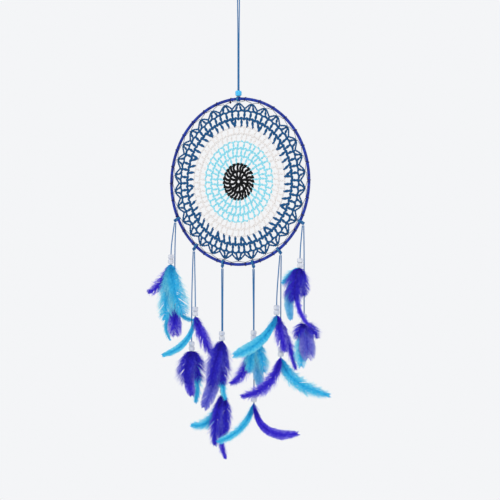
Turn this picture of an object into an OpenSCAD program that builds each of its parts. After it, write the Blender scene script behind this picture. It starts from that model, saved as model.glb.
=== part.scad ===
// Evil eye hanging ornament: a crocheted eye in a wrapped hoop, with beads and feathers on cords.
// The origin is the top of the inside of the hanging loop. +Z is up and -Y is the front.

/* [Hoop] */
// Diameter of the hoop, along the middle of its wire
hoop_d = 200; // [190:1:210]
// Diameter of the steel wire
wire_d = 2.8; // [2:0.1:3]
// Diameter of the hoop over its thread wrapping
wrap_d = 3.8; // [3.4:0.1:4]
// Height of the hanging point above the middle of the hoop
hang_h = 240; // [220:5:320]

/* [Crochet] */
// Thickness of the crochet
web_t = 2.4; // [1.5:0.1:3]
// Width of a crochet stitch
stitch_w = 2; // [1.2:0.1:2.2]
// Diameter of the thread that laces the crochet to the hoop
lace_d = 0.8; // [0.5:0.1:1]

/* [Cords] */
// Diameter of the cord
cord_d = 1.4; // [1:0.1:1.6]
// Diameter of the knots
knot_d = 4.4; // [4:0.1:5]
// Width of the hanging loop
loop_w = 9; // [7:1:12]
// Length of the hanging loop, from its knot to its top
loop_h = 17; // [14:1:20]

/* [Beads] */
// Diameter of a white bead
bead_d = 7.2; // [6:0.1:8]
// Height of a white bead
bead_h = 5.8; // [5:0.1:6]
// Diameter of the hole in a white bead
bead_bore = 3.4; // [3:0.1:4]
// Diameter of the bead on top of the hoop
top_bead_d = 7.8; // [7:0.1:9]
// Height of the bead on top of the hoop
top_bead_h = 6.6; // [5:0.1:8]

/* [Feathers] */
// Direction that the feathers spread in, from the X axis
fan_angle = 34; // [20:1:45]
// Thickness of a feather at its shaft
feather_t = 0.7; // [0.4:0.1:0.8]

/* [Hidden] */
PENDANTS = [1, 2, 3, 4, 5, 6];
ENDS = ["upper", "lower"];

$fn = 64;
hoop_r = hoop_d / 2;
wrap_r = wrap_d / 2;
cord_r = cord_d / 2;
knot_r = knot_d / 2;
// Radius of the hoop's plane at which the lacing's turns meet its runs
lace_ring_r = hoop_r - wrap_r - 0.05 - lace_d / 2;
// Space between pieces that move apart
gap = 0.4;
// The hanging cord runs from just under the loop's knot to the bead on top of the hoop
top_bead_z = -hang_h + hoop_r + wrap_r + cord_d + 0.2;
hang_top = -loop_h - knot_r - gap;
// Distance of a pendant's knot outside the hoop's wire
knot_out = wrap_r + cord_d + knot_r * 0.8;
along_fan = [cos(fan_angle), sin(fan_angle), 0];
to_front = [sin(fan_angle), -cos(fan_angle), 0];
// The cord and the quills come out together under the beads
tail = 1.5;
quill_start = 0.5;
quill_step = 0.35;
quill_w = 0.6;
feather_steps = 10;

// Colours
NAVY = "#1d2a8c";
STEEL_BLUE = "#1c659c";
PALE_CYAN = "#93e1ef";
YARN_WHITE = "#f3efee";
YARN_BLACK = "#101014";
PLUM = "#3a2350";
CORD_BLUE = "#2c7fb6";
TURQUOISE = "#25b9e4";
MILK = "#e4e6e8";
CYAN = "#1fb2e4";
VIOLET = "#2f1db4";
ROYAL = "#241a9c";
PERIWINKLE = "#6460cf";
ICE = "#7cc4e6";

// The rounds of the crochet. A row is [holes, inner radius, outer radius], as shares of the hoop's radius.
PUPIL_ROUNDS = [[12, 0.055, 0.105], [24, 0.14, 0.205]];
IRIS_ROUNDS = [[24, 0.24, 0.3], [36, 0.325, 0.392], [36, 0.417, 0.48]];
WHITE_ROUNDS = [[48, 0.505, 0.573], [48, 0.6, 0.66]];
BLUE_ROUNDS = [[60, 0.69, 0.752], [60, 0.778, 0.846]];
PUPIL_HOLE = 0.025;
PUPIL_EDGE = 0.228;
IRIS_EDGE = 0.49;
WHITE_EDGE = 0.67;
PEAKS = 30;
PEAK_TIP = 0.955;
PEAK_FOOT = 0.9;
PEAK_EYE = [0.875, 0.925];
web_sides = 144;
// Angle of the knot that ends the lacing, from the bottom
LACING_KNOT = 187;

// Each pendant cord is doubled over the hoop, where a hitch holds it, and its two ends hang down.
// Angle of each hitch round the hoop, from the bottom
HITCH_ANGLE = [-64, -39, -13, 12, 35, 61];
// Each end is [drop to its beads from the middle of the hoop, place along the fan, place towards the front]
CORD_ENDS = [
    [[88, -5.2, 0], [138, -0.6, -4.8]],
    [[152, 1.8, 0], [195, -2.8, -4.8]],
    [[181, -0.6, 0], [246, 0.4, -4.8]],
    [[179, 0, 0], [254, 0.5, -4.8]],
    [[148, -4.6, 0], [198, 0.4, -4.8]],
    [[92, -3.6, 0], [158, 1.4, -4.8]]];

// Each feather is [colour, bend, tip, width, bluntness]. The bend pulls its curve, and the tip ends it.
// Both are [along the fan, towards the front, below the beads].
FEATHERS = [
    [[[CYAN, [1, 5, 31], [17, 7, 65], 21, 3],
      [CYAN, [-5, 3, 34], [-8, 4, 72], 17, 3],
      [VIOLET, [-9, 1, 29], [-30, 1, 36], 13, 1.5]],
     [[VIOLET, [-1, -5, 20], [1, -4.5, 42], 18, 5],
      [CYAN, [-19, -7, 26], [-5, -8, 45], 5, 2],
      [CYAN, [7, -9, 20], [28, -11, 20], 5, 2]]],
    [[[VIOLET, [6, 3, 22], [22, 4, 49], 13, 2],
      [CYAN, [-5, 1.5, 39], [-42, 5, 48], 9, 4]],
     [[ROYAL, [-8, -4, 17], [-8, -4, 43], 20, 3],
      [ROYAL, [6, -6, 17], [10, -6, 39], 20, 3],
      [VIOLET, [-8, -8, 31], [1, -8, 57], 13, 4],
      [CYAN, [12, -10, 31], [4, -10, 65], 10, 2]]],
    [[[ROYAL, [-8, 6, 21], [-14, 7, 57], 19, 3],
      [ROYAL, [1, 4, 26], [1, 5, 55], 18, 3],
      [CYAN, [-5, 2.5, 40], [5, 3, 72], 8, 2],
      [PERIWINKLE, [-4, 1, 44], [-23, 1, 84], 17, 5]],
     [[ROYAL, [-11, -4, 29], [-10, -3, 64], 13, 2],
      [ROYAL, [6, -6, 24], [2, -5, 53], 13, 2],
      [VIOLET, [-8, -8, 50], [4, -8, 80], 7, 3],
      [CYAN, [-11, -10, 45], [-40, -12, 38], 11, 2]]],
    [[[CYAN, [-4, 5, 21], [-5, 4, 40], 13, 3],
      [CYAN, [10, 3.5, 14], [13, 3, 41], 14, 3],
      [ICE, [3, 2, 31], [10, 0.5, 62], 13, 2],
      [VIOLET, [-6, 0.5, 41], [-29, 0, 53], 13, 1.5]],
     [[VIOLET, [5, -5, 48], [55, -6, 37], 12, 5],
      [CYAN, [-8, -7, 37], [-46, -3, 48], 9, 3]]],
    [[[CYAN, [-12, 5, 36], [-54, 9, 48], 14, 5],
      [VIOLET, [4, 3, 24], [11, 3, 45], 13, 2],
      [VIOLET, [13, 1, 24], [23, 1, 66], 8, 3]],
     [[VIOLET, [-9, -2, 43], [-49, 7, 46], 13, 1.5],
      [CYAN, [8, -6.5, 36], [60, -6, 46], 14, 1.5]]],
    [[[VIOLET, [-13, 7, 46], [13, 9, 70], 6, 1.5],
      [ROYAL, [-8, 5, 20], [-7, 6, 42], 22, 3],
      [ROYAL, [6, 3.5, 18], [4, 4, 34], 12, 2],
      [ICE, [-19, 2, 30], [-10, 2, 62], 12, 2],
      [CYAN, [-11, 0.5, 6], [-22, 0.5, 19], 8, 2]],
     [[ROYAL, [-7, -3.5, 6], [-10, -3, 19], 12, 2],
      [ROYAL, [12, -5.5, 6], [17, -5.5, 18], 12, 2],
      [PERIWINKLE, [4, -7.5, 19], [5, -7, 45], 20, 5],
      [CYAN, [-4, -9.5, 25], [-3, -10, 53], 14, 3]]]];

// ---- Paths and tubes ----

function unit(v) = v / norm(v);
function mix(a, b, t) = a + (b - a) * t;

// Direction of a path at point i
function heading(path, i) = unit(path[min(i + 1, len(path) - 1)] - path[max(i - 1, 0)]);

// A round tube along a path that stays near the plane across the sideways vector
module tube(path, r, sideways = [0, 1, 0], sides = 8) {
    rings = len(path);
    points = [for (i = [0:rings - 1])
        let (across = unit(cross(heading(path, i), sideways)), third = cross(across, heading(path, i)))
        for (k = [0:sides - 1])
            path[i] + r * (cos(360 * k / sides) * across + sin(360 * k / sides) * third)];
    skin(points, rings, sides);
}

// The closed surface over rings of points, with a flat face at each end
module skin(points, rings, sides) {
    walls = [for (i = [0:rings - 2], k = [0:sides - 1])
        let (a = i * sides + k, b = i * sides + (k + 1) % sides)
        each [[a, b, b + sides], [a, b + sides, a + sides]]];
    start_cap = [for (k = [0:sides - 1]) sides - 1 - k];
    end_cap = [for (k = [0:sides - 1]) (rings - 1) * sides + k];
    polyhedron(points, concat([start_cap], walls, [end_cap]), convexity = 6);
}

// ---- Hoop ----

module at_hoop() {
    translate([0, 0, -hang_h]) rotate([90, 0, 0]) children();
}

// Takes a piece to a point on the hoop, with its own -Z pointing outwards there
module on_hoop(angle) {
    translate([0, 0, -hang_h]) rotate([0, -angle, 0]) translate([0, 0, -hoop_r]) children();
}

module hoop_wire() {
    color("silver") at_hoop() rotate_extrude() translate([hoop_r, 0]) circle(d = wire_d);
}

module hoop_wrapping() {
    color(NAVY) at_hoop() rotate_extrude() translate([hoop_r, 0])
        difference() {
            circle(d = wrap_d);
            circle(d = wire_d);
        }
}

// ---- Crochet ----

function spot(share, angle) = hoop_r * share * [sin(angle), cos(angle)];
function round_edge(share) = [for (k = [0:web_sides - 1]) spot(share, 360 * k / web_sides)];

// The holes of one round, each with a stitch on either side
function round_holes(row) = [for (k = [0:row[0] - 1])
    let (middle = 360 * (k + 0.5) / row[0],
         inner = 180 / row[0] - stitch_w / 2 / (hoop_r * row[1]) * 180 / PI,
         outer = 180 / row[0] - stitch_w / 2 / (hoop_r * row[2]) * 180 / PI)
    [spot(row[1], middle - max(inner, 1)), spot(row[2], middle - outer),
     spot(row[2], middle + outer), spot(row[1], middle + max(inner, 1))]];

// The outer edge of the blue crochet: a peak at each lacing, and a foot halfway between two
function peak_edge() = [for (k = [0:PEAKS - 1], half = [-0.12, 0.12, 0.42, 0.58])
    spot(abs(half) < 0.2 ? PEAK_TIP : PEAK_FOOT, 360 * (k + half) / PEAKS)];

// The small hole inside each peak
function peak_eyes() = [for (k = [0:PEAKS - 1])
    [spot(PEAK_EYE[0], 360 * (k - 0.25) / PEAKS), spot(PEAK_EYE[1], 360 * k / PEAKS),
     spot(PEAK_EYE[0], 360 * (k + 0.25) / PEAKS)]];

// A flat piece of crochet from its edges and holes
module crochet(loops) {
    starts = [for (i = 0, n = 0; i < len(loops); n = n + len(loops[i]), i = i + 1) n];
    at_hoop() linear_extrude(web_t, center = true)
        polygon([for (loop = loops) each loop],
            [for (i = [0:len(loops) - 1]) [for (k = [0:len(loops[i]) - 1]) starts[i] + k]]);
}

function rounds(edge, hole, rows) = concat([edge, round_edge(hole)], [for (row = rows) each round_holes(row)]);

module crochet_pupil() {
    color(YARN_BLACK) crochet(rounds(round_edge(PUPIL_EDGE), PUPIL_HOLE, PUPIL_ROUNDS));
}

module crochet_iris() {
    color(PALE_CYAN) crochet(rounds(round_edge(IRIS_EDGE), PUPIL_EDGE, IRIS_ROUNDS));
}

module crochet_white() {
    color(YARN_WHITE) crochet(rounds(round_edge(WHITE_EDGE), IRIS_EDGE, WHITE_ROUNDS));
}

module crochet_blue() {
    color(STEEL_BLUE) crochet(concat(rounds(peak_edge(), WHITE_EDGE, BLUE_ROUNDS), peak_eyes()));
}

// One turn of thread or cord round the hoop's wrapping
module turn(d, reach = 0) {
    rotate([0, 90, 0]) rotate_extrude() translate([wrap_r + 0.05 + reach + d / 2, 0]) circle(d = d);
}

// A straight run of the lacing between two points of the hoop's plane
module run(from, to) {
    along = to - from;
    translate([from[0], 0, from[1] - hang_h]) rotate([0, atan2(along[0], along[1]), 0])
        cylinder(d = 0.7 * lace_d, h = norm(along));
}

// A point from its radius and its angle from the bottom
function rim(r, angle) = r * [sin(angle), -cos(angle)];

// True where no hitch covers a run that has its middle at this angle
function uncovered(angle) = min([for (a = HITCH_ANGLE) abs(a - angle)]) > 1.5;

// The thread goes once round the hoop between two peaks and runs from there to each peak
module lacing_thread() {
    color(PLUM) for (k = [0:PEAKS - 1]) {
        angle = 360 * (k + 0.5) / PEAKS - 180;
        union() {
            on_hoop(angle) turn(lace_d);
            for (side = [-1, 1]) if (uncovered(angle + side * 90 / PEAKS))
                run(rim(lace_ring_r, angle + side * 0.07),
                    rim(hoop_r * PEAK_TIP - lace_d, angle + side * (180 / PEAKS - 0.4)));
        }
    }
}

module lacing_knot() {
    color(PLUM) on_hoop(LACING_KNOT) translate([0, 0, wrap_r + 1.5 * lace_d + 0.05]) sphere(d = 3 * lace_d);
}

// ---- Hanging cord ----

// The loop is widest a third of the way down from its top
function loop_path() = concat(
    [[-cord_r - 0.1, 0, -loop_h + knot_r * 0.8], [-loop_w * 0.3, 0, -loop_h * 0.6]],
    [for (a = [-80:20:80]) [loop_w / 2 * sin(a), 0, cord_r - loop_w / 2 * 1.1 * (1 - cos(a))]],
    [[loop_w * 0.3, 0, -loop_h * 0.6], [cord_r + 0.1, 0, -loop_h + knot_r * 0.8]]);

module hanging_loop() {
    color(CORD_BLUE) tube(loop_path(), cord_r);
}

module loop_knot() {
    color(CORD_BLUE) translate([0, 0, -loop_h]) sphere(d = knot_d);
}

// Two runs of cord, from just under the loop's knot to just inside the bead
function hang_path(side) = [
    [side * 1.3, 0, hang_top],
    [side * 1.3, 0, hang_top - 6],
    [side * (cord_r + 0.05), 0, hang_top - 38],
    [side * (cord_r + 0.05), 0, top_bead_z + 1]];

module hanging_cord() {
    color(CORD_BLUE) for (side = [-1, 1]) tube(hang_path(side), cord_r);
}

// A bead: a short cylinder with its corners rounded off and a hole along it
module bead(d, h, bore) {
    difference() {
        intersection() {
            sphere(r = norm([d, h]) / 2 * 0.93);
            cylinder(d = d, h = h, center = true);
        }
        cylinder(d = bore, h = 2 * h, center = true);
    }
}

module top_bead() {
    color(TURQUOISE) translate([0, 0, top_bead_z + top_bead_h / 2])
        bead(top_bead_d, top_bead_h, 3 * cord_d);
}

// Two turns of cord round the hoop, side by side
module hitch_turns() {
    for (side = [-1, 1]) translate([side * (cord_r + 0.05), 0, 0]) turn(cord_d);
}

module top_hitch() {
    color(CORD_BLUE) on_hoop(180) {
        hitch_turns();
        translate([0, -wrap_r - 0.4 * knot_d - 0.05, 0]) sphere(d = knot_d * 0.8);
    }
}

// ---- Pendants ----

// The middle of a pendant's knot, which it swings about
function pivot(i) = [0, 0, -hang_h] + (hoop_r + knot_out) * [sin(HITCH_ANGLE[i]), 0, -cos(HITCH_ANGLE[i])];

// A point from its place along the fan, towards the front and below the pendant's pivot
function hung(i, place) = pivot(i) + place[0] * along_fan + place[1] * to_front - [0, 0, place[2]];

// Drop of an end's beads below the pivot
function bead_drop(i, e) = CORD_ENDS[i][e][0] + pivot(i)[2] + hang_h;

// The cord leaves the knot beside its other half, clears the upper beads and hangs plumb to its own
function side(i, e) = CORD_ENDS[i][e][1] < CORD_ENDS[i][1 - e][1] ? -1 : 1;
function cord_path(i, e) = let (end = CORD_ENDS[i][e]) [
    hung(i, [side(i, e) * (cord_r + 0.1), 0, knot_r + gap]),
    hung(i, [end[1], end[2], 0.8 * bead_drop(i, 0)]),
    hung(i, [end[1], end[2], bead_drop(i, e) + 2 * bead_h + tail])];

module pendant_cord(i, e) {
    color(CORD_BLUE) tube(cord_path(i, e), cord_r, to_front);
}

module hitch(i) {
    color(CORD_BLUE) on_hoop(HITCH_ANGLE[i]) {
        hitch_turns();
        translate([0, 0, -knot_out]) sphere(d = knot_d);
    }
}

// Two white beads, one under the other
module bead_pair(i, e) {
    color(MILK) for (k = [0, 1])
        translate(hung(i, [CORD_ENDS[i][e][1], CORD_ENDS[i][e][2], bead_drop(i, e) + bead_h * (k + 0.5)]))
            bead(bead_d, bead_h - 0.02, bead_bore);
}

// A feather's stations, as shares of its length, and its width at a share of its length: it widens
// from the quill and closes at the tip, and a blunter one stays wide for longer
function plume(t, blunt) = pow(t, 0.55) * pow(1 - pow(t, blunt), 0.6);
function full_plume(blunt) = max([for (k = [1:19]) plume(k / 20, blunt)]);
function feather_width(t, w, blunt) = max(quill_w, w * plume(t, blunt) / full_plume(blunt));

// A curve from the base to the tip, pulled towards the bend
function curve(base, bend, tip, t) = mix(mix(base, bend, t), mix(bend, tip, t), t);

// A thin four-sided blade along the curve
module feather(i, base, f) {
    stations = [for (k = [0:feather_steps]) k / feather_steps];
    path = [for (t = stations)
        hung(i, curve(base, [base[0], 0, base[2]] + f[1], [base[0], 0, base[2]] + f[2], t))];
    points = [for (k = [0:feather_steps])
        let (run = heading(path, k), across = unit(cross(run, to_front)), face = cross(across, run),
             w = feather_width(stations[k], f[3], f[4]) / 2, t = feather_t / 2 * (1 - 0.6 * stations[k]))
        each [path[k] + across * w, path[k] + face * t, path[k] - across * w, path[k] - face * t]];
    color(f[0]) skin(points, feather_steps + 1, 4);
}

// The feathers of one end, with their quills side by side on the end of the cord
module feather_bundle(i, e) {
    bundle = FEATHERS[i][e];
    end = CORD_ENDS[i][e];
    middle = (len(bundle) - 1) / 2;
    for (k = [0:len(bundle) - 1])
        feather(i, [end[1], end[2] + quill_step * (middle - k),
            bead_drop(i, e) + 2 * bead_h + quill_start], bundle[k]);
}

hoop_wire();
hoop_wrapping();
crochet_pupil();
crochet_iris();
crochet_white();
crochet_blue();
lacing_thread();
lacing_knot();
hanging_loop();
loop_knot();
hanging_cord();
top_bead();
top_hitch();
for (i = [0:5]) {
    hitch(i);
}
for (i = [0:5], e = [0, 1]) {
    pendant_cord(i, e);
    bead_pair(i, e);
    feather_bundle(i, e);
}
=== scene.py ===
import math

import bpy
import numpy as np
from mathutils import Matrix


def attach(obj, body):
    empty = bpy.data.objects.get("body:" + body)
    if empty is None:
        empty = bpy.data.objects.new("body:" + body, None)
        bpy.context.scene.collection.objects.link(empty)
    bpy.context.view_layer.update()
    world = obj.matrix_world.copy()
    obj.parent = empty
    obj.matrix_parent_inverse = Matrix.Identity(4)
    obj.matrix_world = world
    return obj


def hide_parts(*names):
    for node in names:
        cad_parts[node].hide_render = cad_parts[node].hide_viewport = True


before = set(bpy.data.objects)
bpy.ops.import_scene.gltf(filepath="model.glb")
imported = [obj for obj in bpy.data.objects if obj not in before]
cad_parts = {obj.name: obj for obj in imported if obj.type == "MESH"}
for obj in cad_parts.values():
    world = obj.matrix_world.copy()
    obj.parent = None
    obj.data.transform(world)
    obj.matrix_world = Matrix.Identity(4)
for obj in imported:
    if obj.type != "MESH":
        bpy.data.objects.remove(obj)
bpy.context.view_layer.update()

# ---- Camera ----
# A long lens a little over two metres off, level, and turned to the ornament's right side.
# The eye hangs side-on to it, so its round hoop looks narrower than it is high.
MM = 0.001
hoop_centre = np.array([0, 0, -240.0])
turned = math.radians(33.6)
to_camera = np.array([math.sin(turned), -math.cos(turned), 0])
to_right = np.array([math.cos(turned), math.sin(turned), 0])
look_at = hoop_centre + 13.9 * to_right - np.array([0, 0, 82.5])
camera_distance = 2180
view_width = 604

camera = bpy.data.objects.new("camera", bpy.data.cameras.new("camera"))
bpy.context.scene.collection.objects.link(camera)
camera.location = (look_at + camera_distance * to_camera) * MM
camera.rotation_euler = (math.pi / 2, 0, turned)
camera.data.sensor_width = 36
camera.data.lens = 36 * camera_distance / view_width
camera.data.clip_end = 20
bpy.context.scene.camera = camera


# ---- Cords ----
# Waxed polyester cord, 1.4 mm, of three plies twisted together. One length is doubled through the
# bead and loops over the hook. Six more are doubled over the hoop, and their ends hang down.
cord_r = 0.7
ply_pitch = 6.0
PENDANTS = range(6)
ENDS = ("upper", "lower")
HITCH_ANGLE = np.radians([-64, -39, -13, 12, 35, 61])
# Each end is (drop to its beads from the hoop's middle, place along the fan, place towards the
# front), all in millimetres
CORD_ENDS = [
    [(88, -5.2, 0), (138, -0.6, -4.8)],
    [(152, 1.8, 0), (195, -2.8, -4.8)],
    [(181, -0.6, 0), (246, 0.4, -4.8)],
    [(179, 0, 0), (254, 0.5, -4.8)],
    [(148, -4.6, 0), (198, 0.4, -4.8)],
    [(92, -3.6, 0), (158, 1.4, -4.8)],
]
hoop_r = 100.0
wrap_r = 1.9
knot_r = 2.2
bead_h = 5.8
loop_h = 17.0
loop_w = 9.0
gap = 0.4
tail = 1.5
knot_out = wrap_r + 2 * cord_r + 0.8 * knot_r
fan = math.radians(34)
along_fan = np.array([math.cos(fan), math.sin(fan), 0])
to_front = np.array([math.sin(fan), -math.cos(fan), 0])
UP = np.array([0, 0, 1.0])
DOWN = -UP
FRONT = np.array([0, -1.0, 0])


def unit(v):
    """Each vector divided by its own length."""
    return v / np.maximum(np.linalg.norm(v, axis=-1, keepdims=True), 1e-12)


def sweep(path, half_width, half_depth, sideways, sides):
    """Rings of points square to each path: an ellipse whose width lies across the path and the
    sideways vector, and whose depth is square to both. Paths are (..., stations, 3)."""
    run = unit(np.gradient(path, axis=-2))
    across = unit(np.cross(run, sideways))
    face = np.cross(across, run)
    turn = np.linspace(0, 2 * np.pi, sides, endpoint=False)[:, None]
    width = np.asarray(half_width)[..., None, None] if np.ndim(half_width) else half_width
    depth = np.asarray(half_depth)[..., None, None] if np.ndim(half_depth) else half_depth
    return (
        path[..., None, :]
        + width * np.cos(turn) * across[..., None, :]
        + depth * np.sin(turn) * face[..., None, :]
    )


def sweep_closed(path, half_width, half_depth, sideways, sides):
    """The rings of one path that closes on itself, as its ends see their neighbours."""
    wrapped = np.concatenate([path[-1:], path, path[:1]])
    return sweep(wrapped, half_width, half_depth, sideways, sides)[1:-1]


def skin(rings, closed=False, u=None):
    """Faces over rings of points (tubes, stations, sides, 3): a quad between each two stations and
    sides, and a flat cap on each end unless the tube closes on itself. The map's u runs along and
    its v runs round."""
    tubes, stations, sides = rings.shape[:3]
    index = np.arange(tubes * stations * sides).reshape(tubes, stations, sides)
    steps = np.arange(stations if closed else stations - 1)
    i, k = np.meshgrid(steps, np.arange(sides), indexing="ij")
    after, beside = (i + 1) % stations, (k + 1) % sides
    quads = np.stack(
        [index[:, i, k], index[:, after, k], index[:, after, beside], index[:, i, beside]], -1
    )
    u = np.linspace(0, 1, stations) if u is None else u
    u = np.broadcast_to(u, (tubes, stations))
    u = np.concatenate([u, 2 * u[:, -1:] - u[:, -2:-1]], 1)
    across = np.stack([k, k, k + 1, k + 1], -1) / sides
    along = np.stack([u[:, i], u[:, i + 1], u[:, i + 1], u[:, i]], -1)
    uv = np.stack([along, np.broadcast_to(across, along.shape)], -1)
    loops, sizes, uvs = [quads.ravel()], [np.full(quads.size // 4, 4)], [uv.reshape(-1, 2)]
    if not closed:
        for row, end in ((index[:, 0], u[:, 0]), (index[:, -1, ::-1], u[:, stations - 1])):
            loops.append(row.ravel())
            sizes.append(np.full(tubes, sides))
            uvs.append(np.stack([np.repeat(end, sides), np.zeros(tubes * sides)], -1))
    return rings.reshape(-1, 3), np.concatenate(loops), np.concatenate(sizes), np.concatenate(uvs)


def put(name, skins, material, tone=None):
    """One object from several skins. tone is a second map, one pair of values for each corner."""
    firsts = np.cumsum([0] + [len(s[0]) for s in skins[:-1]])
    loops = np.concatenate([s[1] + first for s, first in zip(skins, firsts)])
    sizes = np.concatenate([s[2] for s in skins])
    vertices = np.concatenate([s[0] for s in skins]) * MM
    mesh = bpy.data.meshes.new(name)
    mesh.vertices.add(len(vertices))
    mesh.vertices.foreach_set("co", vertices.ravel())
    mesh.loops.add(len(loops))
    mesh.loops.foreach_set("vertex_index", loops)
    mesh.polygons.add(len(sizes))
    mesh.polygons.foreach_set("loop_start", np.cumsum(sizes) - sizes)
    mesh.polygons.foreach_set("use_smooth", np.ones(len(sizes), bool))
    mesh.update(calc_edges=True)
    maps = [("along_and_round", np.concatenate([s[3] for s in skins]))]
    maps += [("tone", tone)] if tone is not None else []
    for label, values in maps:
        mesh.uv_layers.new(name=label).data.foreach_set("uv", values.ravel())
    mesh.materials.append(material)
    piece = bpy.data.objects.new(name, mesh)
    bpy.context.scene.collection.objects.link(piece)
    return piece


def linear(hex_colour):
    """An sRGB hex colour as linear red, green and blue, and an alpha of 1."""
    parts = [int(hex_colour[k : k + 2], 16) / 255 for k in (1, 3, 5)]
    return (*[c / 12.92 if c <= 0.04045 else ((c + 0.055) / 1.055) ** 2.4 for c in parts], 1)


def new_material(name, **settings):
    """A material and its shader, with the shader's own sockets set."""
    material = bpy.data.materials.new(name)
    material.use_nodes = True
    shader = material.node_tree.nodes["Principled BSDF"]
    for socket, value in settings.items():
        shader.inputs[socket.replace("_", " ")].default_value = value
    return material, shader


def add_node(material, kind, links=(), **settings):
    """Adds a node. links are (its input, the node and output that feed it). A setting is a
    property of the node, or the value of the input of that name."""
    node = material.node_tree.nodes.new(kind)
    for key, value in settings.items():
        if hasattr(node, key):
            setattr(node, key, value)
        else:
            node.inputs[key.replace("_", " ")].default_value = value
    for socket, (source, output) in links:
        material.node_tree.links.new(source.outputs[output], node.inputs[socket])
    return node


def add_ramp(material, source, output, stops):
    """A colour ramp on a value, from (place, hex colour) stops."""
    ramp = add_node(material, "ShaderNodeValToRGB", [("Fac", (source, output))])
    elements = ramp.color_ramp.elements
    while len(elements) < len(stops):
        elements.new(0.5)
    for element, (place, colour) in zip(elements, stops):
        element.position = place
        element.color = linear(colour)
    return ramp


def feed(material, source, output, shader, socket):
    """Links an output to the shader."""
    material.node_tree.links.new(source.outputs[output], shader.inputs[socket])


def roughen(material, shader, height, output, strength, depth_mm):
    """A bump from a height, as deep as depth_mm at its full strength."""
    bump = add_node(
        material,
        "ShaderNodeBump",
        [("Height", (height, output))],
        Strength=strength,
        Distance=depth_mm * MM,
    )
    feed(material, bump, "Normal", shader, "Normal")


def plied(name, dark, light, ply_turns, fibre_scale, roughness, sheen):
    """Twisted textile: plies that run round the strand as they run along it, and fine fibres in
    each. The map gives diameters along and turns round. Wax or fluff sets roughness and sheen."""
    material, shader = new_material(name, Roughness=roughness, Sheen_Weight=sheen)
    shader.inputs["Specular IOR Level"].default_value = 0.12
    coordinates = add_node(material, "ShaderNodeUVMap", uv_map="along_and_round")
    place = add_node(
        material,
        "ShaderNodeMapping",
        [("Vector", (coordinates, "UV"))],
        Rotation=(0, 0, math.atan(ply_turns)),
    )
    plies = add_node(
        material,
        "ShaderNodeTexWave",
        [("Vector", (place, "Vector"))],
        Scale=fibre_scale,
        Distortion=1.5,
        Detail=3.0,
        Detail_Scale=2.0,
    )
    fluff = add_node(
        material, "ShaderNodeTexNoise", [("Vector", (coordinates, "UV"))], Scale=1.3, Detail=4.0
    )
    both = add_node(
        material,
        "ShaderNodeMath",
        [(0, (plies, "Fac")), (1, (fluff, "Fac"))],
        operation="MULTIPLY",
    )
    ramp = add_ramp(material, both, "Value", [(0.05, dark), (0.55, light)])
    feed(material, ramp, "Color", shader, "Base Color")
    roughen(material, shader, both, "Value", 0.6, 0.12)
    return material


def rounded(points, cuts=3):
    """Corner cutting: each inside corner gives way to two points, a quarter of the way along
    the edges on its sides. The ends stay."""
    path = np.array(points, float)
    for _ in range(cuts):
        a, b = path[:-1], path[1:]
        inner = np.stack([0.75 * a + 0.25 * b, 0.25 * a + 0.75 * b], 1).reshape(-1, 3)
        path = np.concatenate([path[:1], inner[1:-1], path[-1:]])
    return path


def evenly(path, step):
    """The path again, with stations about a step apart, and the distance along it at each."""
    lengths = np.concatenate([[0], np.cumsum(np.linalg.norm(np.diff(path, axis=0), axis=1))])
    at = np.linspace(0, lengths[-1], max(3, math.ceil(lengths[-1] / step) + 1))
    return np.stack([np.interp(at, lengths, path[:, k]) for k in range(3)], 1), at


def rope(path, sideways, radius=cord_r, step=0.6):
    """Three plies twisted together: the radius dips between plies, and the dips turn round the
    cord once in a pitch."""
    path, at = evenly(path, step)
    rings = sweep(path, 1.0, 1.0, sideways, 12)
    turn = np.arange(12) / 12 * 2 * np.pi - at[:, None] / ply_pitch * 2 * np.pi
    lobes = radius * (0.8 + 0.24 * np.abs(np.cos(1.5 * turn)))
    rings = path[:, None] + (rings - path[:, None]) * lobes[..., None]
    return skin(rings[None], u=at / (2 * radius))


def pivot(i):
    """The middle of a pendant's knot, just outside the hoop."""
    angle = HITCH_ANGLE[i]
    return hoop_centre + (hoop_r + knot_out) * np.array([math.sin(angle), 0, -math.cos(angle)])


def hung(i, along, front, drop):
    """A point from its place along the fan, towards the front and below a pendant's pivot."""
    return pivot(i) + along * along_fan + front * to_front + drop * DOWN


def bead_drop(i, e):
    """How far the beads of an end are below the pendant's pivot."""
    return CORD_ENDS[i][e][0] + pivot(i)[2] - hoop_centre[2]


waxed_cord = plied("waxed_polyester_cord", "#12508c", "#4a90c2", 0.5, 1.2, 0.42, 0.0)


def lay_cord(name, points, body, node, sideways):
    """A plied cord along the points."""
    path = rounded(points)
    piece = put(name + "_plied", [rope(path, sideways)], waxed_cord)
    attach(piece, body)
    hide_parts(node)


swing = np.radians(np.arange(-80, 81, 20))
loop_foot = np.array([cord_r + 0.1, 0, -loop_h + 0.8 * knot_r])
loop_flank = np.array([0.3 * loop_w, 0, -0.6 * loop_h])
loop_top = np.stack(
    [loop_w / 2 * np.sin(swing), 0 * swing, cord_r - 0.55 * loop_w * (1 - np.cos(swing))], 1
)
mirrored = np.array([-1, 1, 1])
loop_points = [loop_foot * mirrored, loop_flank * mirrored, *loop_top, loop_flank, loop_foot]
lay_cord("hanging_loop", loop_points, "hanger", "hanging_loop", (0, 1, 0))

hang_top = -loop_h - knot_r - gap
bead_foot = hoop_centre[2] + hoop_r + wrap_r + 2 * cord_r + 0.2
for side, label in ((-1, "left"), (1, "right")):
    run_points = [
        (side * 1.3, 0, hang_top),
        (side * 1.3, 0, hang_top - 6),
        (side * (cord_r + 0.05), 0, hang_top - 38),
        (side * (cord_r + 0.05), 0, bead_foot + 1),
    ]
    name = f"hanging_cord_{label}"
    lay_cord(name, run_points, "cord", "hanging_cord", (0, 1, 0))


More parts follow.
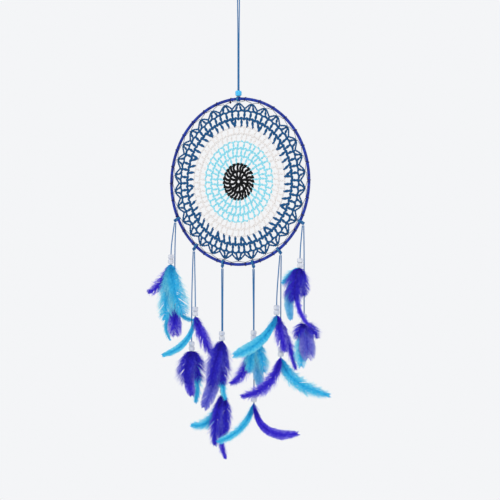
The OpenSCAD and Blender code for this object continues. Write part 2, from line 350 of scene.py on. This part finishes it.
# ---- Knots and hitches ----
# Each doubled cord goes twice round the hoop and is drawn up in a knot below it, in the same
# waxed cord. The hanging loop is closed by an overhand knot. Drawn tight, the cord is thinner.
drawn_r = 0.85 * cord_r
knot_stations = 72
top_knot_r = 1.9


def knot(centre, radius, normal, upright):
    """A trefoil, the shape of an overhand knot: a cord that goes twice round a middle while it
    crosses over and under itself three times."""
    t = np.linspace(0, 2 * np.pi, knot_stations, endpoint=False)
    scale = (radius - cord_r * 0.8) / 3
    x = np.sin(t) + 2 * np.sin(2 * t)
    z = np.cos(t) - 2 * np.cos(2 * t)
    y = -1.5 * np.sin(3 * t)
    right = np.cross(normal, upright)
    path = centre + scale * (
        x[:, None] * right + z[:, None] * np.asarray(upright) + y[:, None] * np.asarray(normal)
    )
    rings = sweep_closed(path, drawn_r, drawn_r, normal, 10)
    at = np.arange(knot_stations) * 0.4
    return skin(rings[None], closed=True, u=at / cord_r)


def hitch_turns(angle, turns=2, reach=1.8):
    """A helix round the hoop: the cord turns about the hoop's middle line and steps its own
    diameter along it each turn, and both ends lead out to the knot."""
    out = np.array([math.sin(angle), 0, -math.cos(angle)])
    tangent = np.array([math.cos(angle), 0, math.sin(angle)])
    t = np.linspace(0, 2 * np.pi * turns, 60)[:, None]
    r = wrap_r + cord_r + 0.05
    step = (t / (2 * np.pi) - turns / 2) * 2.1 * cord_r
    turn = out * r * np.cos(t) + np.array([0, 1, 0]) * r * np.sin(t) + tangent * step
    ends = [turn[:1] + out * reach, turn, turn[-1:] + out * reach]
    return rope(hoop_centre + hoop_r * out + np.concatenate(ends), tangent, step=0.4)


loop_knot = put(
    "loop_knot_tied", [knot(DOWN * loop_h, knot_r, FRONT, UP)], waxed_cord
)
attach(loop_knot, "hanger")
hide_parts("loop_knot")

top_knot_centre = hoop_centre + np.array([0, -wrap_r - 2 * cord_r, hoop_r])
top_hitch = put(
    "top_hitch_tied",
    [hitch_turns(math.pi, reach=0.3), knot(top_knot_centre, top_knot_r, FRONT, UP)],
    waxed_cord,
)
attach(top_hitch, "hoop")
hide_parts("top_hitch")

for i in PENDANTS:
    hitch = put(
        f"hitch_{i + 1}_tied",
        [hitch_turns(HITCH_ANGLE[i]), knot(pivot(i), knot_r, to_front, UP)],
        waxed_cord,
    )
    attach(hitch, "hoop")
    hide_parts(f"hitch_{i + 1}")


# ---- Hoop ----
# A welded ring of steel wire, wound edge to edge with royal-blue rayon thread.
# The wire shows nowhere, and the thread's turns lean a little and catch the light.
wire_steel, shader = new_material("bright_steel_wire", Metallic=1.0, Roughness=0.35)
shader.inputs["Base Color"].default_value = linear("#b9bcc2")
drawn = add_node(wire_steel, "ShaderNodeTexCoord")
scratches = add_node(
    wire_steel, "ShaderNodeTexNoise", [("Vector", (drawn, "Object"))], Scale=2500.0, Detail=2.0
)
roughen(wire_steel, shader, scratches, "Fac", 0.3, 0.02)
wire = bpy.data.objects["hoop_wire"]
for material_slot in wire.material_slots:
    material_slot.material = wire_steel

thread_turns = 524
steps_a_turn = 8
thread_sides = 14
thread_rise = 0.28
# One unit of the map along a thread or yarn
map_length = 1.2


def wound_ring():
    """A ring whose tube swells into ridges: the height is the sine of the place along the
    winding, which moves on one turn of thread for each turn round the tube."""
    stations = thread_turns * steps_a_turn
    around = np.linspace(0, 2 * np.pi, stations, endpoint=False)[:, None]
    turn = np.linspace(0, 2 * np.pi, thread_sides, endpoint=False)[None]
    winding = thread_turns * around + turn
    r = wrap_r - thread_rise * (1 - np.abs(np.sin(winding / 2)))
    from_middle = hoop_r + r * np.cos(turn)
    points = np.stack(
        [from_middle * np.sin(around), r * np.sin(turn), from_middle * np.cos(around)], -1
    )
    return skin((points + hoop_centre)[None], closed=True, u=around[:, 0] * hoop_r / map_length)


rayon, shader = new_material("royal_rayon_thread", Roughness=0.42, Specular_IOR_Level=0.2)
coordinates = add_node(rayon, "ShaderNodeUVMap", uv_map="along_and_round")
lean = add_node(rayon, "ShaderNodeMapping", [("Vector", (coordinates, "UV"))], Scale=(0.35, 1.0, 1))
patches = add_node(
    rayon, "ShaderNodeTexNoise", [("Vector", (lean, "Vector"))], Scale=1.0, Detail=5.0
)
blues = add_ramp(rayon, patches, "Fac", [(0.3, "#0e1c64"), (0.52, "#153094"), (0.72, "#2646b6")])
feed(rayon, blues, "Color", shader, "Base Color")
filaments = add_node(
    rayon, "ShaderNodeTexNoise", [("Vector", (coordinates, "UV"))], Scale=14.0, Detail=2.0
)
roughen(rayon, shader, filaments, "Fac", 0.4, 0.06)
wrapping = put("hoop_wrapping_turns", [wound_ring()], rayon)
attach(wrapping, "hoop")
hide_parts("hoop_wrapping")


# ---- Crochet ----
# Mercerised cotton, worked in rounds from the middle: tall stitches stand on the chain of the
# round before, and their tops make the next chain. Each colour is a yarn of its own.
luck = np.random.default_rng(11)
strand_r = 0.76
strand_lift = 0.6
strand_sides = 6
stitch_stations = 8
SIDEWAYS = (0, 1, 0)
BOTH_STRANDS = (0, np.pi)


def polar(r, angle, y):
    """Points of the crochet from their radius, angle from the top and depth."""
    x, z = r * np.sin(angle), r * np.cos(angle)
    return np.stack(np.broadcast_arrays(x, y, z), -1) + hoop_centre


def stitches(foot_r, top_r, foot, top, turns=1.0, plump=1.0, phases=BOTH_STRANDS, squash=1.0):
    """Tall stitches: two strands that twist about each other from the chain below to the one
    above. The middle line bows a little, and the strands spread where they go into the chains.
    A squashed strand is that share as deep as it is wide."""
    t = np.linspace(0, 1, stitch_stations)
    phase = np.array(phases)[None, :, None]
    foot, top = foot[:, None, None], top[:, None, None]
    bow = luck.normal(0, 0.4, foot.shape) * np.sin(np.pi * t)
    twist = phase + 2 * np.pi * turns * t + luck.uniform(0, 1, foot.shape)
    lift = strand_lift * (1 + 0.35 * np.cos(2 * np.pi * t) ** 4)
    r = foot_r + (top_r - foot_r) * t + 0 * phase
    angle = foot + (top - foot) * t + (bow + lift * np.cos(twist)) / r
    path = polar(r, angle, lift * np.sin(twist))
    path = path.reshape(-1, stitch_stations, 3)
    radius = strand_r * plump * np.broadcast_to(1 + 0.12 * np.sin(np.pi * t), path.shape[:2])
    rings = sweep(path, radius, radius * squash, SIDEWAYS, strand_sides)
    return skin(rings, u=t * (top_r - foot_r) / map_length)


def chain(radius, links, scallop=0.0, plump=1.0, phases=BOTH_STRANDS, squash=1.0):
    """The chain round the top of a round: two strands that cross over each other at each
    stitch, and pull in towards the middle between stitches."""
    angle = np.linspace(0, 2 * np.pi, links * 6, endpoint=False)
    wobble = luck.normal(0, 0.1, 24)
    uneven = np.interp(angle, np.linspace(0, 2 * np.pi, 25), np.append(wobble, wobble[0]))
    skins = []
    for strand in phases:
        weave = links * angle + strand
        r = radius + uneven + strand_lift * np.cos(weave)
        r = r - scallop * np.cos(links * angle)
        path = polar(r, angle, strand_lift * np.sin(weave))
        wide = strand_r * plump
        rings = sweep_closed(path, wide, wide * squash, SIDEWAYS, strand_sides)
        skins.append(skin(rings[None], closed=True, u=angle * radius / map_length))
    return skins


def spaced(count, shift=0.5, jitter=0.05):
    """Angles of the stitches of a round, each a little out of place."""
    return 2 * np.pi * (np.arange(count) + shift + luck.normal(0, jitter, count)) / count


def cotton(name, dark, light):
    """Mercerised cotton yarn: a soft twist, with light fluff and a faint sheen."""
    return plied(name, dark, light, 0.7, 1.6, 0.75, 0.06)


def finish_crochet(name, skins, material):
    """Puts a yarn in place of its CAD piece."""
    piece = put(name + "_stitches", skins, material)
    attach(piece, "hoop")
    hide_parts(name)


black = cotton("black_cotton", "#040405", "#131418")
# The pupil is worked tight, so its stitches close up into single flat strokes
tight = {"plump": 1.95, "phases": (0,), "squash": 0.45}
pupil_skins = chain(3.4, 6, **tight)
pupil_skins += chain(12.6, 24, 0.2, **tight) + chain(21.4, 24, 0.7, **tight)
first = spaced(12)
pupil_skins.append(stitches(3.4, 12.6, first, first + 0.1, 0.7, **tight))
second = spaced(24)
pupil_skins.append(stitches(12.4, 22.0, second, second + 0.12, 1.0, **tight))
finish_crochet("crochet_pupil", pupil_skins, black)

cyan_cotton = cotton("pale_cyan_cotton", "#84d2e4", "#aceef6")
iris_skins = chain(31.0, 24, 0.9, 0.82) + chain(40.3, 36, 0.9, 0.82) + chain(48.6, 36, 0.7, 0.82)
third = spaced(24)
iris_skins.append(stitches(21.4, 31.0, third, third + 0.02, plump=0.88))
fourth = spaced(36)
iris_skins.append(stitches(30.6, 40.3, fourth, fourth + 0.03, plump=0.88))
fifth = spaced(36, 1.0)
iris_skins.append(stitches(39.8, 48.6, fifth, fifth + 0.02, plump=0.88))
finish_crochet("crochet_iris", iris_skins, cyan_cotton)

white_cotton = cotton("white_cotton", "#dcd7d4", "#fbf8f6")
white_skins = chain(57.8, 48, 0.8, 0.88) + chain(66.2, 48, 0.5, 0.88)
sixth = spaced(48)
white_skins.append(stitches(48.2, 57.8, sixth, sixth + 0.02, plump=0.88))
seventh = spaced(48, 1.0)
white_skins.append(stitches(57.4, 66.2, seventh, seventh + 0.01, plump=0.88))
finish_crochet("crochet_white", white_skins, white_cotton)

# The blue border starts with a round that grows: every fourth stitch below takes two. The next
# round stands between its stitches, so the holes lie like bricks. In the last round the tall
# stitches lean together in pairs, which makes the peaks that the lacing holds.
blue_cotton = cotton("steel_blue_cotton", "#0c3a69", "#226ca3")
grown = np.arange(60)
growing_foot = 2 * np.pi * (grown // 5 * 4 + np.minimum(grown % 5, 3) + 0.5) / 48
ninth = spaced(60, 0.5, 0.04)
tenth = spaced(60, 0.5, 0.04)
peaks = 30
peak_at = 2 * np.pi * np.arange(peaks) / peaks
peak_r = 94.4
valley_r = 88.6
firm = {"plump": 1.35, "squash": 0.72}
blue_skins = chain(76.2, 60, 0.8, **firm) + chain(85.6, 60, 0.8, **firm)
blue_skins.append(stitches(66.0, 76.4, growing_foot, ninth, **firm))
half_stitch = math.pi / len(tenth)
blue_skins.append(stitches(75.8, 85.8, ninth + half_stitch, tenth + half_stitch, **firm))
for lean in (-1, 1):
    foot = peak_at + lean * math.radians(2.9)
    blue_skins.append(stitches(85.2, peak_r - 1.2, foot, peak_at + lean * math.radians(0.9)))


def peaked_edge():
    """The last chain: its radius rises to a point at each lacing and hangs in a round arch
    between two, as the cosine of the place between them, sharpened."""
    angle = np.linspace(0, 2 * np.pi, peaks * 16, endpoint=False)
    share = np.abs(np.cos(peaks * angle / 2)) ** 1.4
    skins = []
    for strand in BOTH_STRANDS:
        weave = 4 * peaks * angle + strand
        r = valley_r + (peak_r - valley_r) * share + strand_lift * np.cos(weave)
        path = polar(r, angle, strand_lift * np.sin(weave))
        rings = sweep_closed(path, strand_r, strand_r, SIDEWAYS, strand_sides)
        skins.append(skin(rings[None], closed=True, u=angle * valley_r / map_length))
    return skins


blue_skins += peaked_edge()
foot = peak_at + math.radians(6)
blue_skins.append(stitches(85.2, valley_r + 0.4, foot, foot))
finish_crochet("crochet_blue", blue_skins, blue_cotton)


# ---- Lacing ----
# A dark plum sewing thread laces the crochet into the hoop. It goes once round the hoop between
# two peaks and in under the tip of each peak, and ends in a small knot beside the top.
lace_r = 0.32


def lacing():
    """One closed path in a zigzag: halfway between two peaks a loop round the hoop, then over the
    front of the next peak's tip, through the hole below it, and out behind."""
    t = np.linspace(0, 2 * np.pi, 17)[None]
    half = math.pi / peaks
    at = peak_at[:, None] - half + 0.007 * (t / np.pi - 1)
    loop_r = hoop_r - (wrap_r + lace_r + 0.05) * np.cos(t) + 0 * at
    loop_y = -(wrap_r + lace_r) * np.sin(t) + 0 * at
    tip_at = peak_at[:, None] + np.array([[-0.012, -0.003, 0, 0.003, 0.012]])
    tip_r = np.array([[96.2, 95.6, 92.6, 95.6, 96.2]]) + 0 * tip_at
    tip_y = np.array([[-1.0, -1.7, 0, 1.7, 1.0]]) + 0 * tip_at
    r, angle, y = (
        np.concatenate(both, 1).ravel() for both in ((loop_r, tip_r), (at, tip_at), (loop_y, tip_y))
    )
    path = polar(r, angle, y)
    rings = sweep_closed(path, lace_r, lace_r, (0.05, 1, 0.02), strand_sides)
    return skin(rings[None], closed=True, u=np.arange(len(path), dtype=float))


plum_thread = plied("plum_polyester_thread", "#140d28", "#382752", 0.5, 1.5, 0.6, 0.0)
lacing_thread = put("lacing_thread_run", [lacing()], plum_thread)
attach(lacing_thread, "hoop")
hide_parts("lacing_thread")

lacing_knot_r = 1.4
knot_at = math.radians(187)
knot_at_r = hoop_r - wrap_r - 1.25
lacing_end = hoop_centre + knot_at_r * np.array([math.sin(knot_at), 0, -math.cos(knot_at)])
lacing_knot = put(
    "lacing_end_knot",
    [knot(lacing_end, lacing_knot_r, FRONT, (0.5, 0, 0.866))],
    plum_thread,
)
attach(lacing_knot, "hoop")
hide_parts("lacing_knot")


# ---- Beads ----
# Moulded pony beads: a turquoise one where the cord meets the hoop, and two milky ones on each
# cord end, which hold the feathers. Their corners are well rounded and the hole flares a little.
mouth_r = 0.5
top_bead_r = 3.9
top_bead_h = 6.6
top_bore_r = 2.1


def turned_bead(centre, radius, height, bore, corner):
    """A profile turned about the upright axis: up the bore, out over the top, down the rounded
    barrel and in under the foot. It closes on itself."""
    corner_turn = np.linspace(0, np.pi / 2, 7)
    outwards, upwards = np.cos(corner_turn), np.sin(corner_turn)
    top = height / 2
    barrel = np.stack([radius - corner + corner * outwards, top - corner + corner * upwards], 1)
    mouth = np.stack([bore + mouth_r - mouth_r * upwards, top - mouth_r + mouth_r * outwards], 1)
    belly, waist = [radius * 1.012, 0.12 * height], [bore, 0.1 * height]
    upper = np.concatenate([[belly], barrel, mouth, [waist]])
    lower = upper[::-1] * (1, -1)
    profile = np.concatenate([upper, lower])
    turn = np.linspace(0, 2 * np.pi, 40, endpoint=False)[:, None]
    points = np.stack(
        [profile[:, 0] * np.cos(turn), profile[:, 0] * np.sin(turn), profile[:, 1] + 0 * turn], -1
    )
    return skin((points + centre)[None], closed=True)


def styrene(name, dark, light, flow_scale, depth, scattered, **settings):
    """Moulded styrene: light scatters in it to a depth, and its two tints flow into each other."""
    material, shader = new_material(name, IOR=1.59, **settings)
    shader.inputs["Subsurface Weight"].default_value = scattered
    shader.inputs["Subsurface Radius"].default_value = depth
    place = add_node(material, "ShaderNodeTexCoord")
    flow = add_node(
        material,
        "ShaderNodeTexNoise",
        [("Vector", (place, "Object"))],
        Scale=flow_scale,
        Detail=2.0,
    )
    tint = add_ramp(material, flow, "Fac", [(0.3, dark), (0.7, light)])
    feed(material, tint, "Color", shader, "Base Color")
    return material


turquoise_depth = (0.0005, 0.001, 0.0015)
turquoise = styrene(
    "turquoise_styrene",
    "#1fa4da",
    "#3cc4f2",
    350.0,
    turquoise_depth,
    0.15,
    Roughness=0.12,
    Coat_Weight=0.2,
)
top_bead = put(
    "top_bead_turned",
    [turned_bead(UP * (bead_foot + top_bead_h / 2), top_bead_r, top_bead_h, top_bore_r, 1.6)],
    turquoise,
)
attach(top_bead, "hoop")
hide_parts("top_bead")

milky_depth = (0.002, 0.002, 0.0025)
milky = styrene(
    "milky_styrene",
    "#ccd2e0",
    "#e9ebf2",
    280.0,
    milky_depth,
    0.3,
    Roughness=0.25,
    Transmission_Weight=0.2,
)


def end_path(i, e):
    """The route of one end: it leaves the knot beside its other half, clears the upper beads and
    hangs plumb to its own."""
    _, place, front = CORD_ENDS[i][e]
    side = -1 if place < CORD_ENDS[i][1 - e][1] else 1
    return [
        hung(i, side * (cord_r + 0.1), 0, knot_r + gap),
        hung(i, place, front, 0.8 * bead_drop(i, 0)),
        hung(i, place, front, bead_drop(i, e) + 2 * bead_h + tail),
    ]


bead_r = 3.55
bead_play = 0.05
bore_r = 1.65
for i in PENDANTS:
    for e in (0, 1):
        _, place, front = CORD_ENDS[i][e]
        body = f"pendant_{i + 1}"
        pair = [
            turned_bead(hung(i, place, front, drop), bead_r, bead_h - bead_play, bore_r, 1.5)
            for drop in bead_drop(i, e) + bead_h * np.array([0.5, 1.5])
        ]
        name = f"beads_{i + 1}_{ENDS[e]}"
        beads = put(name + "_turned", pair, milky)
        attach(beads, body)
        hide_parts(name)
        name = f"cord_{i + 1}_{ENDS[e]}"
        lay_cord(name, end_path(i, e), body, name, to_front)


# ---- Feathers ----
# Dyed hackle feathers, tied in with the cord under the beads. Soft barbs stand off a thin quill
# and fray at the edge, and the rounded ones keep a firm vane. Fluff hides where they are tied.
CYAN, ICE, VIOLET, ROYAL, PERIWINKLE = "cyan", "ice", "violet", "royal", "periwinkle"
# Each dye is its record slot, and its colours from the middle of the vane to the barbs' ends. The
# paler end colours are painted light shining through the thin barbs.
DYE_AND_PAINTED_BACKLIGHT_COLOURS = {
    CYAN: ("cyan_feather", ("#1888c8", "#26a8e2", "#4ac6f0", "#86e2fa")),
    ICE: ("cyan_feather", ("#1f80ba", "#469ed2", "#6ab8e6", "#9ad6f2")),
    VIOLET: ("violet_feather", ("#2014a0", "#3020c6", "#483ad4", "#918af0")),
    ROYAL: ("violet_feather", ("#1a1284", "#261cae", "#332cca", "#5c5cdc")),
    PERIWINKLE: ("violet_feather", ("#3838ac", "#4c4ec6", "#686ad4", "#9298e6")),
}
# Each feather is (dye, bend, tip, width, bluntness), front to back. The bend pulls its curve, and
# both are (along the fan, towards the front, below the beads), in millimetres
FEATHERS = [
    [
        [
            (CYAN, (1, 5, 31), (17, 7, 65), 21, 3),
            (CYAN, (-5, 3, 34), (-8, 4, 72), 17, 3),
            (VIOLET, (-9, 1, 29), (-30, 1, 36), 13, 1.5),
        ],
        [
            (VIOLET, (-1, -5, 20), (1, -4.5, 42), 18, 5),
            (CYAN, (-19, -7, 26), (-5, -8, 45), 5, 2),
            (CYAN, (7, -9, 20), (28, -11, 20), 5, 2),
        ],
    ],
    [
        [
            (VIOLET, (6, 3, 22), (22, 4, 49), 13, 2),
            (CYAN, (-5, 1.5, 39), (-42, 5, 48), 9, 4),
        ],
        [
            (ROYAL, (-8, -4, 17), (-8, -4, 43), 20, 3),
            (ROYAL, (6, -6, 17), (10, -6, 39), 20, 3),
            (VIOLET, (-8, -8, 31), (1, -8, 57), 13, 4),
            (CYAN, (12, -10, 31), (4, -10, 65), 10, 2),
        ],
    ],
    [
        [
            (ROYAL, (-8, 6, 21), (-14, 7, 57), 19, 3),
            (ROYAL, (1, 4, 26), (1, 5, 55), 18, 3),
            (CYAN, (-5, 2.5, 40), (5, 3, 72), 8, 2),
            (PERIWINKLE, (-4, 1, 44), (-23, 1, 84), 17, 5),
        ],
        [
            (ROYAL, (-11, -4, 29), (-10, -3, 64), 13, 2),
            (ROYAL, (6, -6, 24), (2, -5, 53), 13, 2),
            (VIOLET, (-8, -8, 50), (4, -8, 80), 7, 3),
            (CYAN, (-11, -10, 45), (-40, -12, 38), 11, 2),
        ],
    ],
    [
        [
            (CYAN, (-4, 5, 21), (-5, 4, 40), 13, 3),
            (CYAN, (10, 3.5, 14), (13, 3, 41), 14, 3),
            (ICE, (3, 2, 31), (10, 0.5, 62), 13, 2),
            (VIOLET, (-6, 0.5, 41), (-29, 0, 53), 13, 1.5),
        ],
        [
            (VIOLET, (5, -5, 48), (55, -6, 37), 12, 5),
            (CYAN, (-8, -7, 37), (-46, -3, 48), 9, 3),
        ],
    ],
    [
        [
            (CYAN, (-12, 5, 36), (-54, 9, 48), 14, 5),
            (VIOLET, (4, 3, 24), (11, 3, 45), 13, 2),
            (VIOLET, (13, 1, 24), (23, 1, 66), 8, 3),
        ],
        [
            (VIOLET, (-9, -2, 43), (-49, 7, 46), 13, 1.5),
            (CYAN, (8, -6.5, 36), (60, -6, 46), 14, 1.5),
        ],
    ],
    [
        [
            (VIOLET, (-13, 7, 46), (13, 9, 70), 6, 1.5),
            (ROYAL, (-8, 5, 20), (-7, 6, 42), 22, 3),
            (ROYAL, (6, 3.5, 18), (4, 4, 34), 12, 2),
            (ICE, (-19, 2, 30), (-10, 2, 62), 12, 2),
            (CYAN, (-11, 0.5, 6), (-22, 0.5, 19), 8, 2),
        ],
        [
            (ROYAL, (-7, -3.5, 6), (-10, -3, 19), 12, 2),
            (ROYAL, (12, -5.5, 6), (17, -5.5, 18), 12, 2),
            (PERIWINKLE, (4, -7.5, 19), (5, -7, 45), 20, 5),
            (CYAN, (-4, -9.5, 25), (-3, -10, 53), 14, 3),
        ],
    ],
]
quill_start = 0.5
quill_step = 0.35
quill_stations = 24
quill_sides = 6
barb_step = 0.2
barb_angle = math.radians(33)
barb_stations = 6
barb_sides = 3
wisp_step = 1.1
tufts = 150


def plume(t, blunt):
    """Half the width at a share of the length, as a share of its most: a power that widens it
    from the quill, times one that closes the tip. A blunter feather stays wide for longer."""
    t = np.clip(t, 0, 1)
    at = np.linspace(0, 1, 40)
    full = (at**0.55 * (1 - at**blunt) ** 0.6).max()
    return t**0.55 * (1 - t**blunt) ** 0.6 / full


def curve(ends, t):
    """A quadratic curve from base to tip, pulled towards the bend, and its direction."""
    base, bend, tip = ends
    t = t[..., None]
    point = base * (1 - t) ** 2 + 2 * bend * t * (1 - t) + tip * t**2
    return point, unit(2 * (bend - base) * (1 - t) + 2 * (tip - bend) * t)


def off_shaft(ends, t, away, lift):
    """Points off the shaft: away across the vane, and lift square to it."""
    point, run = curve(ends, t)
    across = unit(np.cross(run, to_front))
    return point + away[..., None] * across + lift[..., None] * np.cross(across, run)


def barb_row(ends, width, place, away, lift, wide, deep):
    """Barbs along the lines given, as one skin. The tone of each vertex is its place along the
    feather, and its distance off the shaft as a share of half the width."""
    points = off_shaft(ends, place, away, lift)
    face = np.broadcast_to(to_front, points.shape)
    tone = np.stack([place, np.abs(away) / (width / 2)], -1)
    tone = np.repeat(tone.reshape(-1, 2), barb_sides, axis=0)
    return skin(sweep(points, wide, deep, face, barb_sides)), tone


def feather_skins(ends, width, blunt, firm):
    """A tapered quill, barbs in two even rows, and fluff round the tied end. Each barb starts up
    the shaft from where it ends: it runs out to the outline as the square root of its own length
    and bows a little. Neighbouring barbs cling in groups, which leaves slits between them, and a
    soft feather has loose wisps past its outline. Gives pairs of a skin and its tone."""
    length = np.linalg.norm(ends[1] - ends[0]) + np.linalg.norm(ends[2] - ends[1])
    t = np.linspace(0, 0.97, quill_stations)
    shaft, _ = curve(ends, t)
    taper = (1 - 0.85 * t)[None]
    quill = sweep(shaft[None], 0.34 * taper, 0.3 * taper, to_front, quill_sides)
    on_shaft = np.stack([np.repeat(t, quill_sides), np.zeros(quill_stations * quill_sides)], 1)
    parts = [(skin(quill), on_shaft)]

    def leaves_at(end, half, least):
        """Where a barb leaves the shaft, from where it ends and how far off."""
        return np.maximum(end - half / math.tan(barb_angle) / length, least)

    count = int(length / barb_step)
    along = np.linspace(0, 1, barb_stations)[None]
    for side in (-1, 1):
        end = np.linspace(0.05, 1.0, count) + luck.normal(0, 0.3 / count, count)
        groups = np.cumsum(luck.uniform(0, 1, count) < 0.14)
        pull = luck.normal(0, 1, groups[-1] + 1)[groups]
        scatter = luck.normal(0, 0.04 if firm else 0.1, count)
        reach = 1 + (0.04 if firm else 0.17) * pull + scatter
        half = width / 2 * np.maximum(plume(end - 0.02, blunt), 0.12)
        start = leaves_at(end, half, 0.004 * luck.uniform(0, 1, count))
        half = half * reach
        end = end + 0.008 * pull
        place = start[:, None] + (end - start)[:, None] * along**1.15
        away = side * half[:, None] * along**0.8
        loose = luck.normal(0, 0.025, count)
        lift = (loose[:, None] * along - 0.03 * along**2) * half[:, None]
        wide = 0.28 * (1 - along) ** (0.45 if firm else 0.7) + 0.03 + 0 * place
        parts.append(barb_row(ends, width, place, away, lift, wide, 0.35 * wide + 0.02))

    if not firm:
        wisps = int(length / wisp_step)
        for side in (-1, 1):
            end = luck.uniform(0.08, 1.0, wisps)
            half = width / 2 * np.maximum(plume(end - 0.02, blunt), 0.2)
            start = leaves_at(end, half, 0.002)
            half = half * luck.uniform(1.1, 1.5, wisps) + luck.uniform(0, 1.8, wisps)
            run = luck.uniform(0.85, 1.2, (wisps, 1))
            place = start[:, None] + (end - start)[:, None] * along * run
            away = side * half[:, None] * along**0.85
            lift = luck.normal(0, 0.05, wisps)[:, None] * half[:, None] * along**1.5
            fine = 0.2 * (1 - along) ** 0.6 + 0.03 + 0 * place
            parts.append(barb_row(ends, width, place, away, lift, fine, 0.5 * fine))

    start = luck.uniform(0, 0.16, tufts)
    spread = luck.uniform(-1, 1, tufts) * width * 0.42
    fall = luck.uniform(0.05, 0.2, tufts)
    place = start[:, None] + fall[:, None] * along
    waver = luck.normal(0, 0.25, (tufts, barb_stations)) * along
    away = spread[:, None] * along**0.7 + waver
    rise = luck.normal(0, 0.9, tufts)[:, None] * along**0.7
    lift = rise + luck.normal(0, 0.15, (tufts, barb_stations)) * along
    thin = 0.2 * (1 - 0.8 * along) + 0 * place
    parts.append(barb_row(ends, width, place, away, lift, thin, 0.6 * thin))
    return parts


def dyed_feather_painted_backlight(name, colours):
    """Dyed keratin barbs, with streaks along them: deepest along the middle and where the feather
    is tied, and paler out to the barbs' ends, where the colour is painted light shining through the
    thin barbs."""
    material, shader = new_material(
        name, Roughness=0.6, Specular_IOR_Level=0.12, Subsurface_Weight=0.2
    )
    shader.inputs["Subsurface Radius"].default_value = (0.0008, 0.0008, 0.0012)
    tone = add_node(material, "ShaderNodeUVMap", uv_map="tone")
    parts = add_node(material, "ShaderNodeSeparateXYZ", [("Vector", (tone, "UV"))])
    place = add_node(material, "ShaderNodeTexCoord")
    streaks = add_node(
        material, "ShaderNodeTexNoise", [("Vector", (place, "Object"))], Scale=420.0, Detail=3.0
    )
    frayed = add_node(
        material,
        "ShaderNodeMath",
        [(0, (parts, "X")), (2, (streaks, "Fac"))],
        operation="MULTIPLY_ADD",
    )
    frayed.inputs[1].default_value = 0.3
    outwards = add_node(
        material,
        "ShaderNodeMath",
        [(0, (parts, "Y")), (2, (frayed, "Value"))],
        operation="MULTIPLY_ADD",
    )
    outwards.inputs[1].default_value = 0.8
    share = add_node(material, "ShaderNodeMath", [(0, (outwards, "Value"))], operation="DIVIDE")
    share.inputs[1].default_value = 2.0
    # The paler ramp stops, out at the barbs' ends, are painted light shining through the thin
    # barbs.
    ramp = add_ramp(material, share, "Value", list(zip((0.2, 0.34, 0.52, 0.74), colours)))
    feed(material, ramp, "Color", shader, "Base Color")
    return material


dyed = {dye: dyed_feather_painted_backlight(f"{dye}_dyed_feather_painted_backlight", colours) for dye, (_, colours) in DYE_AND_PAINTED_BACKLIGHT_COLOURS.items()}
for i in PENDANTS:
    for e in (0, 1):
        bundle = FEATHERS[i][e]
        _, place, front = CORD_ENDS[i][e]
        middle = (len(bundle) - 1) / 2
        foot = bead_drop(i, e) + 2 * bead_h + quill_start
        made = {}
        for k, (dye, bend, tip, width, blunt) in enumerate(bundle):
            base = hung(i, place, front + quill_step * (middle - k), foot)
            ends = [base] + [hung(i, place + s, n, foot + d) for s, n, d in (bend, tip)]
            firm = blunt >= 4 or dye in (ICE, PERIWINKLE)
            made.setdefault(dye, []).extend(feather_skins(ends, width, blunt, firm))
        for dye, parts in made.items():
            tone = np.concatenate([values[part[1]] for part, values in parts])
            name = f"feathers_{i + 1}_{ENDS[e]}_{dye}"
            piece = put(name, [part for part, _ in parts], dyed[dye], tone)
            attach(piece, f"pendant_{i + 1}")
            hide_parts(f"feathers_{i + 1}_{ENDS[e]}")


# ---- Stage ----
# A pale floor well below the ornament, and large soft lights. Colours are shown as they are.
world = bpy.data.worlds.new("pale_room")
world.use_nodes = True
world.node_tree.nodes["Background"].inputs["Color"].default_value = linear("#f4f5f7")
world.node_tree.nodes["Background"].inputs["Strength"].default_value = 1.0
bpy.context.scene.world = world
bpy.context.scene.view_settings.view_transform = "Standard"

floor_size = 3.4
floor_z = -1.3
bpy.ops.mesh.primitive_plane_add(size=floor_size, location=(0, 0, floor_z))
floor = bpy.context.object
floor.name = "floor"
pale, shader = new_material("pale_floor_paint", Roughness=0.9)
shader.inputs["Base Color"].default_value = linear("#eceef0")
floor.data.materials.append(pale)


def soft_light(name, place, size, power):
    """A square area light at a place, turned to the middle of the ornament."""
    light = bpy.data.lights.new(name, "AREA")
    light.shape = "SQUARE"
    light.size = size
    light.energy = power
    lamp = bpy.data.objects.new(name, light)
    bpy.context.scene.collection.objects.link(lamp)
    lamp.location = place
    aim = look_at * MM - np.array(place)
    lamp.rotation_euler = (
        math.atan2(math.hypot(aim[0], aim[1]), -aim[2]),
        0,
        math.atan2(aim[1], aim[0]) - math.pi / 2,
    )


soft_light("key_light", (1.6, -1.6, 0.9), 1.2, 14)
soft_light("fill_light", (-1.2, -1.8, 0.2), 1.6, 6)
soft_light("back_light", (-0.8, 1.8, 0.8), 1.4, 8)
